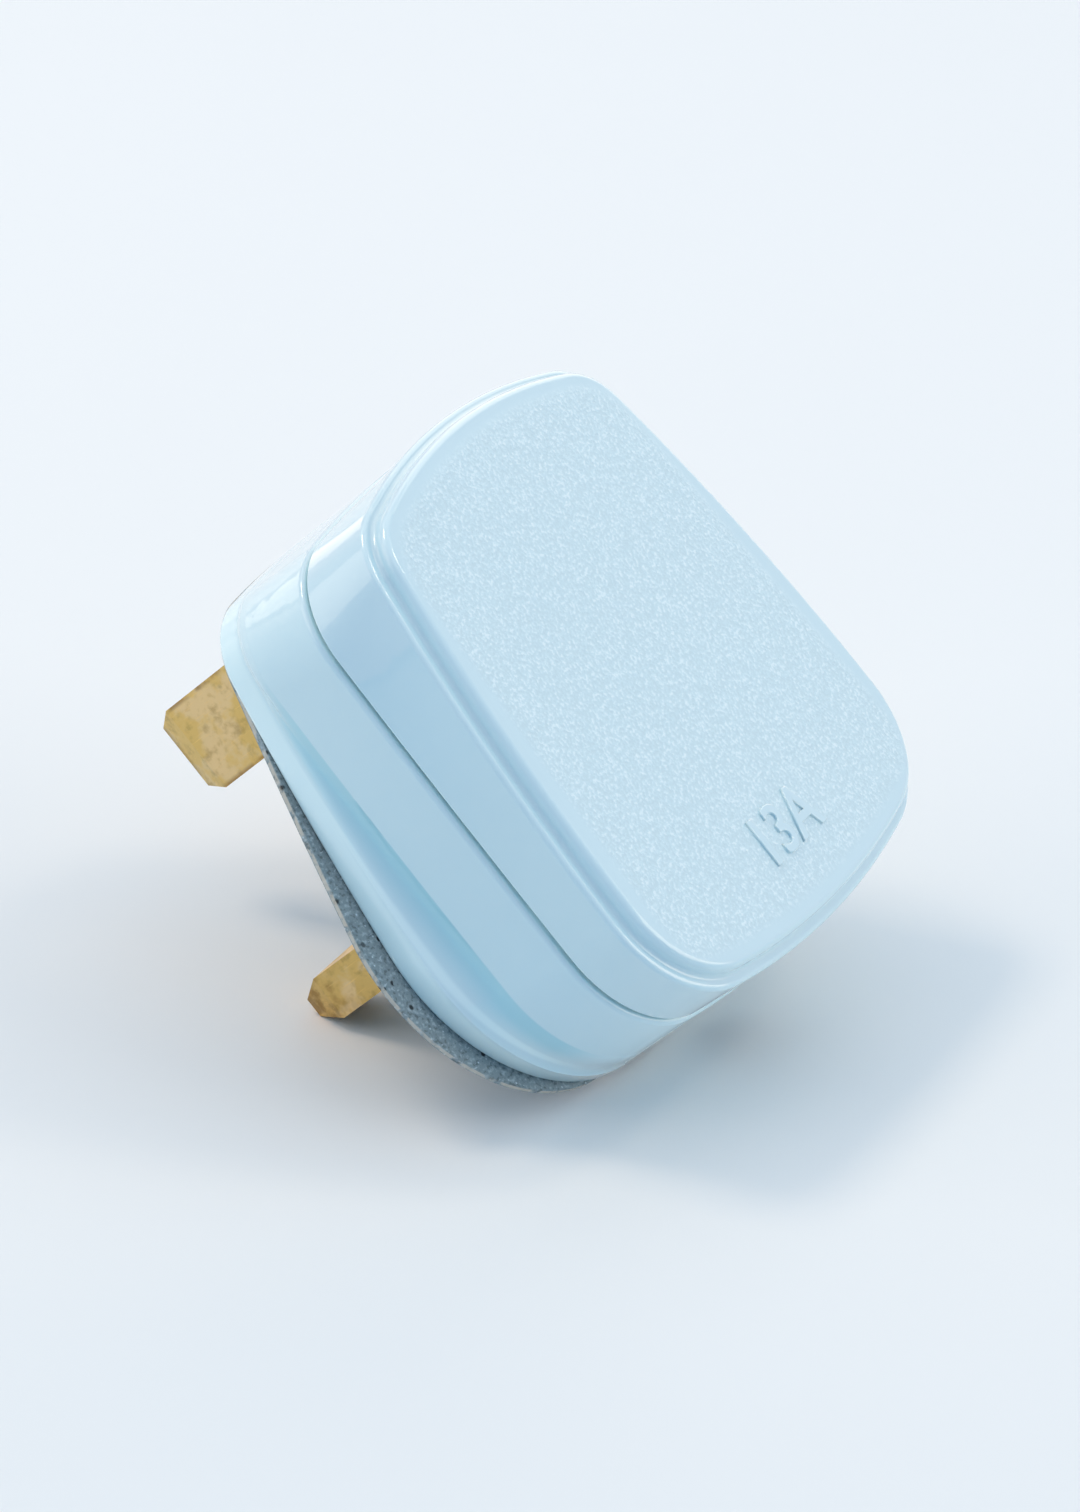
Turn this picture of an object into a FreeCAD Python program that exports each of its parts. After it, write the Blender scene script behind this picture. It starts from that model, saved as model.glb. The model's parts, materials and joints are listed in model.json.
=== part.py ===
import FreeCAD, Part
import math
import os
import re

import Sketcher

# A rewireable three pin mains plug, lying on its line and neutral pin tips and the edge of its card.
# The plug's own axes: X across the plug, Y from the line and neutral row towards the earth pin, and Z out
# of the cover. Their origin is on the pin face, midway between the line and neutral pins.

# Driving dimensions, in millimetres
SIZES = {
    # Pins
    "pin_pitch": 22.23,
    "earth_offset": 22.23,
    "pin_thickness": 4.0,
    "earth_pin_width": 8.0,
    "earth_pin_reach": 22.23,
    "earth_tip_depth": 1.0,
    "earth_tip_length": 2.2,
    "row_pin_width": 6.35,
    "row_pin_reach": 18.0,
    "row_tip_depth": 1.15,
    "row_tip_length": 2.8,
    "sleeve_reach": 9.0,
    "sleeve_wall": 0.55,
    "pin_clearance": 0.05,
    # Heights of the housing, the first ones above the pin face
    "lip_height": 2.8,
    "crest_height": 3.15,
    "scoop_height": 4.3,
    "crease_height": 6.15,
    "scoop_drop": 0.6,
    "crease_drop": 1.2,
    "seam_height": 12.8,
    "seam_gap": 0.45,
    "cover_wall_height": 6.3,
    "step_height": 1.4,
    "floor_thickness": 3.0,
    "roof_thickness": 2.3,
    # Ends of the housing
    "earth_margin": 8.05,
    "earth_end_radius": 110.0,
    "top_bulge": 0.55,
    "top_end_radius": 56.0,
    "cord_reach": 18.95,
    "cord_end_radius": 90.0,
    # Sides of the housing at the line and neutral row, then how much narrower each level is at the earth pin
    "row_margin": 11.95,
    "flange_overhang": 0.95,
    "crest_inset": 0.2,
    "scoop_inset": 0.2,
    "crease_inset": 0.45,
    "top_spread": 0.5,
    "face_narrowing": 4.2,
    "lip_narrowing": 3.7,
    "crest_narrowing": 3.5,
    "scoop_narrowing": 3.0,
    "crease_narrowing": 2.25,
    "seam_narrowing": 0.25,
    "shoulder_narrowing": 2.5,
    "face_side_radius": 250.0,
    "wall_side_radius": 150.0,
    "crease_side_radius": 600.0,
    "seam_side_radius": 900.0,
    # Corners of the housing
    "face_earth_corner": 7.0,
    "scoop_earth_corner": 7.5,
    "crease_earth_corner": 8.0,
    "seam_earth_corner": 8.5,
    "shoulder_earth_corner": 6.5,
    "face_cord_corner": 16.5,
    "lip_cord_corner": 14.0,
    "scoop_cord_corner": 12.0,
    "body_cord_corner": 10.0,
    # Steps and rounded edges of the housing
    "seam_step": 0.2,
    "side_step": 1.15,
    "end_step": 0.9,
    "face_edge_radius": 0.5,
    "rim_edge_radius": 0.4,
    "shoulder_edge_radius": 0.4,
    "top_edge_radius": 0.6,
    # Cavity inside base and cover
    "side_wall": 1.8,
    "earth_wall": 2.7,
    "cord_wall": 2.25,
    "cavity_earth_corner": 6.5,
    "cavity_cord_corner": 11.5,
    "tongue_thickness": 0.9,
    "tongue_depth": 1.4,
    "tongue_clearance": 0.1,
    # Terminals on the pins' inner ends
    "earth_head_width": 8.4,
    "earth_head_depth": 9.0,
    "neutral_head_width": 8.0,
    "neutral_head_depth": 7.6,
    "head_height": 7.5,
    "live_head_width": 8.6,
    "live_head_depth": 8.4,
    "live_plate_thickness": 2.0,
    "wire_hole": 3.4,
    "wire_hole_height": 3.0,
    # Line terminal
    "terminal_block_width": 3.8,
    "terminal_block_gap": 0.2,
    "terminal_depth": 7.0,
    "terminal_block_height": 5.5,
    "terminal_wire_hole": 2.2,
    "terminal_wire_height": 2.0,
    # Cartridge fuse
    "fuse_diameter": 6.35,
    "fuse_length": 25.4,
    "fuse_shift": 2.1,
    "fuse_overhang": 5.5,
    "fuse_cap_length": 5.6,
    "fuse_cap_wall": 0.4,
    "fuse_bore": 3.2,
    "clip_thickness": 0.6,
    "clip_length": 5.0,
    "clip_foot_height": 0.7,
    "clip_foot_width": 4.4,
    "clip_mouth": 4.2,
    # Screws
    "terminal_screw_shank": 2.2,
    "terminal_screw_head": 3.4,
    "terminal_screw_head_height": 1.6,
    "terminal_screw_length": 3.6,
    "grip_screw_shank": 2.9,
    "grip_screw_head": 5.4,
    "grip_screw_head_height": 2.0,
    "grip_screw_length": 9.0,
    "cover_screw_shank": 4.0,
    "cover_screw_head": 7.0,
    "cover_screw_head_height": 2.6,
    "slot_width": 0.8,
    "slot_depth": 0.9,
    "screw_clearance": 0.1,
    # Cover fastening between the pins
    "cover_screw_offset": 9.0,
    "screw_seat_height": 4.0,
    "screw_end_gap": 1.2,
    "base_boss_wall": 1.0,
    "boss_gap": 0.1,
    "washer_diameter": 7.4,
    "washer_thickness": 0.8,
    "insert_diameter": 6.0,
    "insert_length": 5.0,
    "insert_wall": 1.3,
    # Cord inlet and grip
    "cord_hole": 8.0,
    "cord_hole_sill": 0.3,
    "grip_inset": 7.0,
    "grip_length": 25.0,
    "grip_screw_inset": 3.0,
    "grip_depth": 6.4,
    "grip_thickness": 3.4,
    "grip_post_diameter": 5.6,
    "grip_post_rise": 1.3,
    "grip_arch_rise": 1.6,
    # Instruction card over the pins
    "card_thickness": 0.5,
    "card_earth_reach": 30.25,
    "card_cord_reach": 18.6,
    "card_row_half": 26.7,
    "card_earth_half": 18.45,
    "card_side_radius": 400.0,
    "card_earth_corner": 8.0,
    "card_cord_corner": 16.0,
    "card_hole_clearance": 0.15,
    "card_screw_margin": 0.7,
}

doc = FreeCAD.newDocument("three_pin_plug")
sheet = doc.addObject("Spreadsheet::Sheet", "sizes")
for row, (alias, number) in enumerate(SIZES.items(), start=1):
    sheet.set(f"A{row}", alias)
    sheet.set(f"B{row}", str(number))
    sheet.setAlias(f"B{row}", alias)
doc.recompute()


# Formulas of the named sizes

def value(formula):
    """The number that a formula of the sheet's names gives."""
    return float(sheet.evalExpression(formula))


def bound(formula):
    """The same formula, written so that a document object can be bound to the sheet with it."""
    def cell(word):
        return f"<<sizes>>.{word.group()}" if word.group() in SIZES else word.group()
    return re.sub(r"[a-z_]+", cell, formula)


# Sketches

def origin_plane(body, role):
    return next(item for item in body.Origin.OriginFeatures if item.Role == role)


def add_sketch(body, name, height="0", role="XY_Plane", drop="0"):
    """An empty sketch on a plane of the body's origin, raised along its normal and lower at the earth pin."""
    sketch = body.newObject("Sketcher::SketchObject", f"{body.Name}_{name}")
    sketch.AttachmentSupport = [(origin_plane(body, role), "")]
    sketch.MapMode = "FlatFace"
    sketch.AttachmentOffset.Rotation = FreeCAD.Rotation(FreeCAD.Vector(-1, 0, 0), 1)
    sketch.setExpression("AttachmentOffset.Rotation.Angle", bound(f"atan(({drop}) / earth_offset)"))
    sketch.setExpression("AttachmentOffset.Base.z", bound(height))
    return sketch


def dimension(sketch, kind, ends, formula):
    """A dimension of a sketch that follows the sheet."""
    index = sketch.addConstraint(Sketcher.Constraint(kind, *ends, value(formula)))
    sketch.setExpression(f"Constraints[{index}]", bound(formula))


def flat(x, y):
    return FreeCAD.Vector(x, y, 0)


def circle_crossings(first, first_radius, second, second_radius):
    """The two points where two circles cross."""
    span = second - first
    along = (first_radius ** 2 - second_radius ** 2 + span.Length ** 2) / (2 * span.Length)
    aside = math.sqrt(first_radius ** 2 - along ** 2)
    axis = FreeCAD.Vector(span).normalize()
    across = flat(-axis.y, axis.x)
    return [first + axis * along + across * side for side in (aside, -aside)]


def arc_between(centre, radius, start, end):
    """A counterclockwise arc about a centre, from the direction of one point to that of another."""
    angles = [math.atan2(point.y - centre.y, point.x - centre.x) for point in (start, end)]
    circle = Part.Circle(centre, FreeCAD.Vector(0, 0, 1), radius)
    return Part.ArcOfCircle(circle, angles[0], angles[1])


def outline(earth, end, cord, row_half, earth_half, side, earth_corner, cord_corner):
    """The formulas of an outline: earth end and its radius, cord end, half widths at two rows, radii."""
    return {
        "earth": earth,
        "end": end,
        "cord": cord,
        "row_half": row_half,
        "earth_half": earth_half,
        "side": side,
        "earth_corner": earth_corner,
        "cord_corner": cord_corner,
    }


def grown(shape, margin):
    """An outline with a margin all round."""
    return {
        key: formula if key == "side" else f"{formula} {margin}"
        for key, formula in shape.items()
    }


def draw_outline(sketch, shape):
    """Eight tangent arcs: two ends, and on each side an earth corner, a side and a cord corner."""
    number = {key: value(formula) for key, formula in shape.items()}
    end_radius = number["end"]
    tail_radius = value("cord_end_radius")
    end_centre = flat(0, number["earth"] - end_radius)
    tail_centre = flat(0, tail_radius - number["cord"])
    row_point = flat(number["row_half"], 0)
    earth_point = flat(number["earth_half"], value("earth_offset"))
    side_centre = min(
        circle_crossings(row_point, number["side"], earth_point, number["side"]),
        key=lambda point: point.x,
    )
    corner = max(
        circle_crossings(
            end_centre, end_radius - number["earth_corner"],
            side_centre, number["side"] - number["earth_corner"],
        ),
        key=lambda point: point.y,
    )
    tail_corner = min(
        circle_crossings(
            tail_centre, tail_radius - number["cord_corner"],
            side_centre, number["side"] - number["cord_corner"],
        ),
        key=lambda point: point.y,
    )

    def mirrored(point):
        return flat(-point.x, point.y)

    # Each arc runs from the joint before it to the joint after it, and a joint lies on the line of centres
    ring = [
        (end_centre, end_radius),
        (mirrored(corner), number["earth_corner"]),
        (mirrored(side_centre), number["side"]),
        (mirrored(tail_corner), number["cord_corner"]),
        (tail_centre, tail_radius),
        (tail_corner, number["cord_corner"]),
        (side_centre, number["side"]),
        (corner, number["earth_corner"]),
    ]
    joints = []
    for (centre, radius), (next_centre, next_radius) in zip(ring, ring[1:] + ring[:1]):
        large, small = (centre, next_centre) if radius > next_radius else (next_centre, centre)
        reach = FreeCAD.Vector(small - large).normalize() * max(radius, next_radius)
        joints.append(large + reach)
    first = sketch.GeometryCount
    for index, (centre, radius) in enumerate(ring):
        sketch.addGeometry(arc_between(centre, radius, joints[index - 1], joints[index]))
    arcs = range(first, first + len(ring))
    end, left_corner, left_side, left_tail, tail, right_tail, right_side, right_corner = arcs
    sketch.addGeometry(Part.Point(row_point), True)
    sketch.addGeometry(Part.Point(earth_point), True)
    row_mark, earth_mark = arcs.stop, arcs.stop + 1

    for arc, following in zip(arcs, [*arcs[1:], end]):
        sketch.addConstraint(Sketcher.Constraint("Tangent", arc, 2, following, 1))
    for left, right in ((left_corner, right_corner), (left_side, right_side), (left_tail, right_tail)):
        sketch.addConstraint(Sketcher.Constraint("Equal", left, right))
    sketch.addConstraint(Sketcher.Constraint("Symmetric", left_side, 3, right_side, 3, -2))
    for arc in (end, tail):
        sketch.addConstraint(Sketcher.Constraint("PointOnObject", arc, 3, -2))
    for mark in (row_mark, earth_mark):
        sketch.addConstraint(Sketcher.Constraint("PointOnObject", mark, 1, right_side))
    sketch.addConstraint(Sketcher.Constraint("PointOnObject", row_mark, 1, -1))
    dimension(sketch, "Radius", (end,), shape["end"])
    dimension(sketch, "Radius", (tail,), "cord_end_radius")
    dimension(sketch, "Radius", (right_corner,), shape["earth_corner"])
    dimension(sketch, "Radius", (right_side,), shape["side"])
    dimension(sketch, "Radius", (right_tail,), shape["cord_corner"])
    dimension(sketch, "DistanceY", (end, 3, -1, 1), f"{shape['end']} - ({shape['earth']})")
    dimension(sketch, "DistanceY", (-1, 1, tail, 3), f"cord_end_radius - ({shape['cord']})")
    dimension(sketch, "DistanceX", (-1, 1, row_mark, 1), shape["row_half"])
    dimension(sketch, "DistanceX", (-1, 1, earth_mark, 1), shape["earth_half"])
    dimension(sketch, "DistanceY", (-1, 1, earth_mark, 1), "earth_offset")


def draw_rectangle(sketch, left, bottom, width, depth):
    """A rectangle from the formulas of its lower left corner and its sides."""
    start = flat(value(left), value(bottom))
    size = flat(value(width), value(depth))
    corners = [start, start + flat(size.x, 0), start + size, start + flat(0, size.y)]
    first = sketch.GeometryCount
    for index in range(4):
        sketch.addGeometry(Part.LineSegment(corners[index], corners[(index + 1) % 4]))
    for index in range(4):
        following = first + (index + 1) % 4
        sketch.addConstraint(Sketcher.Constraint("Coincident", first + index, 2, following, 1))
        sketch.addConstraint(Sketcher.Constraint(("Horizontal", "Vertical")[index % 2], first + index))
    dimension(sketch, "DistanceX", (-1, 1, first, 1), left)
    dimension(sketch, "DistanceY", (-1, 1, first, 1), bottom)
    dimension(sketch, "DistanceX", (first, 1, first, 2), width)
    dimension(sketch, "DistanceY", (first + 1, 1, first + 1, 2), depth)


def draw_centred(sketch, x, y, width, depth):
    """A rectangle about the formulas of its middle."""
    draw_rectangle(sketch, f"{x} - ({width}) / 2", f"{y} - ({depth}) / 2", width, depth)


def draw_circle(sketch, x, y, diameter):
    """A circle from the formulas of its middle and its diameter."""
    centre = flat(value(x), value(y))
    index = sketch.addGeometry(Part.Circle(centre, FreeCAD.Vector(0, 0, 1), value(diameter) / 2))
    dimension(sketch, "DistanceX", (-1, 1, index, 3), x)
    dimension(sketch, "DistanceY", (-1, 1, index, 3), y)
    dimension(sketch, "Diameter", (index,), diameter)


# Features

def new_body(label):
    body = doc.addObject("PartDesign::Body", label)
    body.Label = label
    return body


def extrude(body, kind, sketch, length, reversed_way):
    """A pad or pocket of a sketch, which has to change the body's volume the right way."""
    before = body.Shape.Volume if body.Tip and not body.Shape.isNull() else 0
    feature = body.newObject(f"PartDesign::{kind}", f"{sketch.Name}_{kind.lower()}")
    feature.Profile = sketch
    feature.setExpression("Length", bound(length))
    feature.Reversed = reversed_way
    doc.recompute()
    grew = body.Shape.Volume > before
    if grew != (kind == "Pad") or body.Shape.Volume == before:
        raise RuntimeError(f"{feature.Name} doesn't change the solid the right way")


def pad(body, sketch, length, down=False):
    extrude(body, "Pad", sketch, length, down)


def pocket(body, sketch, length, up=False):
    extrude(body, "Pocket", sketch, length, up)


def loft(body, sketches, ruled):
    """A solid through the outlines of several sketches."""
    feature = body.newObject("PartDesign::AdditiveLoft", f"{sketches[0].Name}_loft")
    feature.Profile = sketches[0]
    feature.Sections = sketches[1:]
    feature.Ruled = ruled
    doc.recompute()


def round_edges(body, radius, chosen):
    """A fillet on the edges that a test picks from the body as it is so far."""
    names = [f"Edge{index}" for index, edge in enumerate(body.Shape.Edges, start=1) if chosen(edge)]
    base = body.Tip
    feature = body.newObject("PartDesign::Fillet", f"{body.Name}_fillet")
    feature.Base = (base, names)
    feature.setExpression("Radius", bound(radius))
    doc.recompute()


# How far an edge that counts as flat may leave its level
FLATNESS = 0.001


def edges_at(height):
    """A test for the edges that lie flat at a height."""
    level = value(height)

    def lies_there(edge):
        box = edge.BoundBox
        return abs(box.ZMin - level) < FLATNESS and abs(box.ZMax - level) < FLATNESS
    return lies_there


# Outlines of the housing, from the pin face to the top

BODY_HALF = "pin_pitch / 2 + row_margin"
EARTH_REACH = "earth_offset + earth_margin"
FACE = outline(
    EARTH_REACH, "earth_end_radius", "cord_reach",
    f"{BODY_HALF} + flange_overhang", f"{BODY_HALF} - face_narrowing",
    "face_side_radius", "face_earth_corner", "face_cord_corner",
)
LIP = dict(FACE, earth_half=f"{BODY_HALF} - lip_narrowing", cord_corner="lip_cord_corner")
CREST = dict(
    LIP,
    row_half=f"{BODY_HALF} + flange_overhang - crest_inset",
    earth_half=f"{BODY_HALF} - crest_narrowing",
)
SCOOP = outline(
    EARTH_REACH, "earth_end_radius", "cord_reach",
    f"{BODY_HALF} - scoop_inset", f"{BODY_HALF} - scoop_narrowing",
    "crease_side_radius", "scoop_earth_corner", "scoop_cord_corner",
)
CREASE = outline(
    EARTH_REACH, "earth_end_radius", "cord_reach",
    f"{BODY_HALF} - crease_inset", f"{BODY_HALF} - crease_narrowing",
    "crease_side_radius", "crease_earth_corner", "body_cord_corner",
)
SEAM = outline(
    EARTH_REACH, "earth_end_radius", "cord_reach",
    BODY_HALF, f"{BODY_HALF} - seam_narrowing",
    "seam_side_radius", "seam_earth_corner", "body_cord_corner",
)
COVER_SEAM = grown(SEAM, "- seam_step")
SHOULDER = outline(
    f"{EARTH_REACH} + top_bulge", "top_end_radius", "cord_reach",
    f"{BODY_HALF} + top_spread", f"{BODY_HALF} - shoulder_narrowing",
    "wall_side_radius", "shoulder_earth_corner", "body_cord_corner",
)
PLATEAU = dict(grown(SHOULDER, "- side_step"), earth=f"{SHOULDER['earth']} - end_step")
CAVITY = outline(
    f"{EARTH_REACH} - earth_wall", "earth_end_radius", "cord_reach - cord_wall",
    f"{BODY_HALF} - crease_inset - side_wall", f"{BODY_HALF} - lip_narrowing - side_wall",
    "wall_side_radius", "cavity_earth_corner", "cavity_cord_corner",
)
TONGUE = grown(CAVITY, "+ tongue_thickness")
TONGUE_SEAT = grown(TONGUE, "+ tongue_clearance")
CARD = outline(
    "card_earth_reach", "earth_end_radius", "card_cord_reach", "card_row_half", "card_earth_half",
    "card_side_radius", "card_earth_corner", "card_cord_corner",
)

# Heights and places that several pieces share
SHOULDER_HEIGHT = "seam_height + cover_wall_height"
COVER_TOP = f"{SHOULDER_HEIGHT} + step_height"
CEILING = f"{COVER_TOP} - roof_thickness"
COVER_RIM = "seam_height + seam_gap"
BASE_BOSS_TOP = "seam_height - boss_gap"
HEAD_TOP = "floor_thickness + head_height"
WIRE_AXIS = "floor_thickness + wire_hole_height"
LIVE_PLATE_TOP = "floor_thickness + live_plate_thickness"
LIVE_BLOCK_TOP = f"{LIVE_PLATE_TOP} + terminal_block_height"
ROW_PLACES = ("-pin_pitch / 2", "pin_pitch / 2")
SLEEVE_OPENING = "row_pin_width + 2 * pin_clearance", "pin_thickness + 2 * pin_clearance"
PIN_CORE = "row_pin_width - 2 * sleeve_wall", "pin_thickness - 2 * sleeve_wall"
FUSE_PLACE = f"{ROW_PLACES[1]} + fuse_shift"
FUSE_AXIS = f"{LIVE_PLATE_TOP} + clip_foot_height + clip_thickness + fuse_diameter / 2"
FUSE_START = "-fuse_overhang"
FUSE_END = "fuse_length - fuse_overhang"
PIN_CLIP_MIDDLE = f"{FUSE_START} + fuse_cap_length / 2"
TERMINAL_CLIP_MIDDLE = f"{FUSE_END} - fuse_cap_length / 2"
BLOCK_RIGHT = f"{FUSE_PLACE} - fuse_diameter / 2 - clip_thickness - terminal_block_gap"
LIVE_SCREW_PLACE = f"{BLOCK_RIGHT} - terminal_block_width / 2", TERMINAL_CLIP_MIDDLE
COVER_SCREW_LENGTH = "seam_height + insert_length - screw_end_gap - screw_seat_height"
WASHER_SEAT = "washer_diameter + 2 * screw_clearance"
BASE_BOSS = f"{WASHER_SEAT} + 2 * base_boss_wall"
CORD_AXIS = "floor_thickness + cord_hole_sill + cord_hole / 2"
GRIP_PLACES = ("grip_screw_inset - grip_length / 2", "grip_length / 2 - grip_screw_inset")
GRIP_ROW = "grip_inset - cord_reach"
GRIP_SEAT = f"{CORD_AXIS} + grip_post_rise"
GRIP_TOP = f"{GRIP_SEAT} + grip_thickness"


def outline_sketch(body, name, height, *shapes, drop="0"):
    """A sketch with one or more housing outlines."""
    sketch = add_sketch(body, name, height, drop=drop)
    for shape in shapes:
        draw_outline(sketch, shape)
    return sketch


# Moulded base: pin face, scooped finger flange, wall, bosses and holes
def make_base():
    body = new_body("base")
    face = outline_sketch(body, "face", "0", FACE)
    lip = outline_sketch(body, "lip", "lip_height", LIP)
    crest = outline_sketch(body, "crest", "crest_height", CREST)
    scoop = outline_sketch(body, "scoop", "scoop_height", SCOOP, drop="scoop_drop")
    crease = outline_sketch(body, "crease", "crease_height", CREASE, drop="crease_drop")
    seam = outline_sketch(body, "seam", "seam_height", SEAM)
    loft(body, [face, lip], True)
    loft(body, [lip, crest, scoop, crease], False)
    loft(body, [crease, seam], True)
    round_edges(body, "face_edge_radius", edges_at("0"))
    round_edges(body, "rim_edge_radius", edges_at("seam_height"))

    cavity = outline_sketch(body, "cavity", "seam_height", CAVITY)
    pocket(body, cavity, "seam_height - floor_thickness")
    seat = outline_sketch(body, "tongue_seat", "seam_height", TONGUE_SEAT)
    pocket(body, seat, "tongue_depth")

    boss = add_sketch(body, "screw_boss", "floor_thickness")
    draw_circle(boss, "0", "cover_screw_offset", BASE_BOSS)
    pad(body, boss, f"{BASE_BOSS_TOP} - floor_thickness")
    posts = add_sketch(body, "grip_posts", "floor_thickness")
    for place in GRIP_PLACES:
        draw_circle(posts, place, GRIP_ROW, "grip_post_diameter")
    pad(body, posts, f"{GRIP_SEAT} - floor_thickness")

    screw_hole = add_sketch(body, "screw_hole", BASE_BOSS_TOP)
    draw_circle(screw_hole, "0", "cover_screw_offset", "cover_screw_shank + 2 * screw_clearance")
    pocket(body, screw_hole, BASE_BOSS_TOP)
    washer_seat = add_sketch(body, "washer_seat", BASE_BOSS_TOP)
    draw_circle(washer_seat, "0", "cover_screw_offset", WASHER_SEAT)
    pocket(body, washer_seat, "washer_thickness")
    head_well = add_sketch(body, "head_well")
    draw_circle(head_well, "0", "cover_screw_offset", "cover_screw_head + 2 * screw_clearance")
    pocket(body, head_well, "screw_seat_height", up=True)
    grip_holes = add_sketch(body, "grip_holes", GRIP_SEAT)
    for place in GRIP_PLACES:
        draw_circle(grip_holes, place, GRIP_ROW, "grip_screw_shank")
    pocket(body, grip_holes, "grip_screw_length - grip_thickness")

    pin_holes = add_sketch(body, "pin_holes", "floor_thickness")
    for place in ROW_PLACES:
        draw_centred(pin_holes, place, "0", *SLEEVE_OPENING)
    draw_centred(
        pin_holes, "0", "earth_offset",
        "pin_thickness + 2 * pin_clearance", "earth_pin_width + 2 * pin_clearance",
    )
    pocket(body, pin_holes, "floor_thickness")
    cord_inlet = add_sketch(body, "cord_inlet", role="XZ_Plane")
    draw_circle(cord_inlet, "0", CORD_AXIS, "cord_hole")
    pocket(body, cord_inlet, "cord_reach + cord_hole", up=True)
    return body


# Moulded cover: wall, shoulder, raised top, locating tongue and screw boss
def make_cover():
    body = new_body("cover")
    rim = outline_sketch(body, "rim", COVER_RIM, COVER_SEAM)
    shoulder = outline_sketch(body, "shoulder", SHOULDER_HEIGHT, SHOULDER)
    loft(body, [rim, shoulder], True)
    plateau = outline_sketch(body, "plateau", SHOULDER_HEIGHT, PLATEAU)
    pad(body, plateau, "step_height")
    round_edges(body, "top_edge_radius", edges_at(COVER_TOP))
    round_edges(body, "shoulder_edge_radius", edges_at(SHOULDER_HEIGHT))

    cavity = outline_sketch(body, "cavity", COVER_RIM, CAVITY)
    pocket(body, cavity, f"{CEILING} - ({COVER_RIM})", up=True)
    tongue = outline_sketch(body, "tongue", COVER_RIM, TONGUE, CAVITY)
    pad(body, tongue, "seam_gap + tongue_depth", down=True)
    boss = add_sketch(body, "screw_boss", CEILING)
    draw_circle(boss, "0", "cover_screw_offset", "insert_diameter + 2 * insert_wall")
    pad(body, boss, f"{CEILING} - seam_height", down=True)
    insert_hole = add_sketch(body, "insert_hole", "seam_height")
    draw_circle(insert_hole, "0", "cover_screw_offset", "insert_diameter")
    pocket(body, insert_hole, "insert_length", up=True)
    return body


def tapered_tip(body, x, y, width, depth, inset, length, reach):
    """The bevelled end of a pin: four sloped faces round a smaller end face."""
    root = add_sketch(body, "tip_root", f"{length} - {reach}")
    draw_centred(root, x, y, width, depth)
    end = add_sketch(body, "tip_end", f"-{reach}")
    draw_centred(end, x, y, f"{width} - 2 * {inset}", f"{depth} - 2 * {inset}")
    loft(body, [root, end], True)


def drill_terminal(body, x, y, wire_hole, wire_height, top):
    """A wire hole along Y through a terminal, and a clamping screw's hole down from its top."""
    wire = add_sketch(body, "wire_hole", f"earth_offset - ({y})", "XZ_Plane")
    draw_circle(wire, x, wire_height, wire_hole)
    pocket(body, wire, "2 * earth_offset")
    screw = add_sketch(body, "screw_hole", top)
    draw_circle(screw, x, y, "terminal_screw_shank")
    pocket(body, screw, "terminal_screw_length")


# Earth pin with its terminal head
def make_earth_pin():
    body = new_body("earth_pin")
    shank = add_sketch(body, "shank", "earth_tip_length - earth_pin_reach")
    draw_centred(shank, "0", "earth_offset", "pin_thickness", "earth_pin_width")
    pad(body, shank, "earth_pin_reach - earth_tip_length + floor_thickness")
    tapered_tip(
        body, "0", "earth_offset", "pin_thickness", "earth_pin_width",
        "earth_tip_depth", "earth_tip_length", "earth_pin_reach",
    )
    head = add_sketch(body, "head", "floor_thickness")
    draw_centred(head, "0", "earth_offset", "earth_head_width", "earth_head_depth")
    pad(body, head, "head_height")
    drill_terminal(body, "0", "earth_offset", "wire_hole", WIRE_AXIS, HEAD_TOP)
    return body


def row_pin(label, x):
    """A line or neutral pin: full section at the tip, and a slimmer core inside its sleeve."""
    body = new_body(label)
    blade = add_sketch(body, "blade", "row_tip_length - row_pin_reach")
    draw_centred(blade, x, "0", "row_pin_width", "pin_thickness")
    pad(body, blade, "row_pin_reach - row_tip_length - sleeve_reach")
    tapered_tip(
        body, x, "0", "row_pin_width", "pin_thickness",
        "row_tip_depth", "row_tip_length", "row_pin_reach",
    )
    core = add_sketch(body, "core", "-sleeve_reach")
    draw_centred(core, x, "0", *PIN_CORE)
    pad(body, core, "sleeve_reach + floor_thickness")
    return body


# Neutral pin with its terminal head
def make_neutral_pin():
    x = ROW_PLACES[0]
    body = row_pin("neutral_pin", x)
    head = add_sketch(body, "head", "floor_thickness")
    draw_centred(head, x, "0", "neutral_head_width", "neutral_head_depth")
    pad(body, head, "head_height")
    drill_terminal(body, x, "0", "wire_hole", WIRE_AXIS, HEAD_TOP)
    return body


# Line pin with the plate that carries a fuse clip
def make_live_pin():
    x = ROW_PLACES[1]
    body = row_pin("live_pin", x)
    head = add_sketch(body, "head", "floor_thickness")
    draw_rectangle(
        head, f"{x} - row_pin_width / 2", FUSE_START, "live_head_width", "live_head_depth",
    )
    pad(body, head, "live_plate_thickness")
    return body


# Insulating sleeve on the root of a line or neutral pin, up through the floor
def make_sleeve(label, x):
    body = new_body(label)
    ring = add_sketch(body, "ring", "-sleeve_reach")
    draw_centred(ring, x, "0", "row_pin_width", "pin_thickness")
    draw_centred(ring, x, "0", *PIN_CORE)
    pad(body, ring, "sleeve_reach + floor_thickness")
    return body


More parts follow.
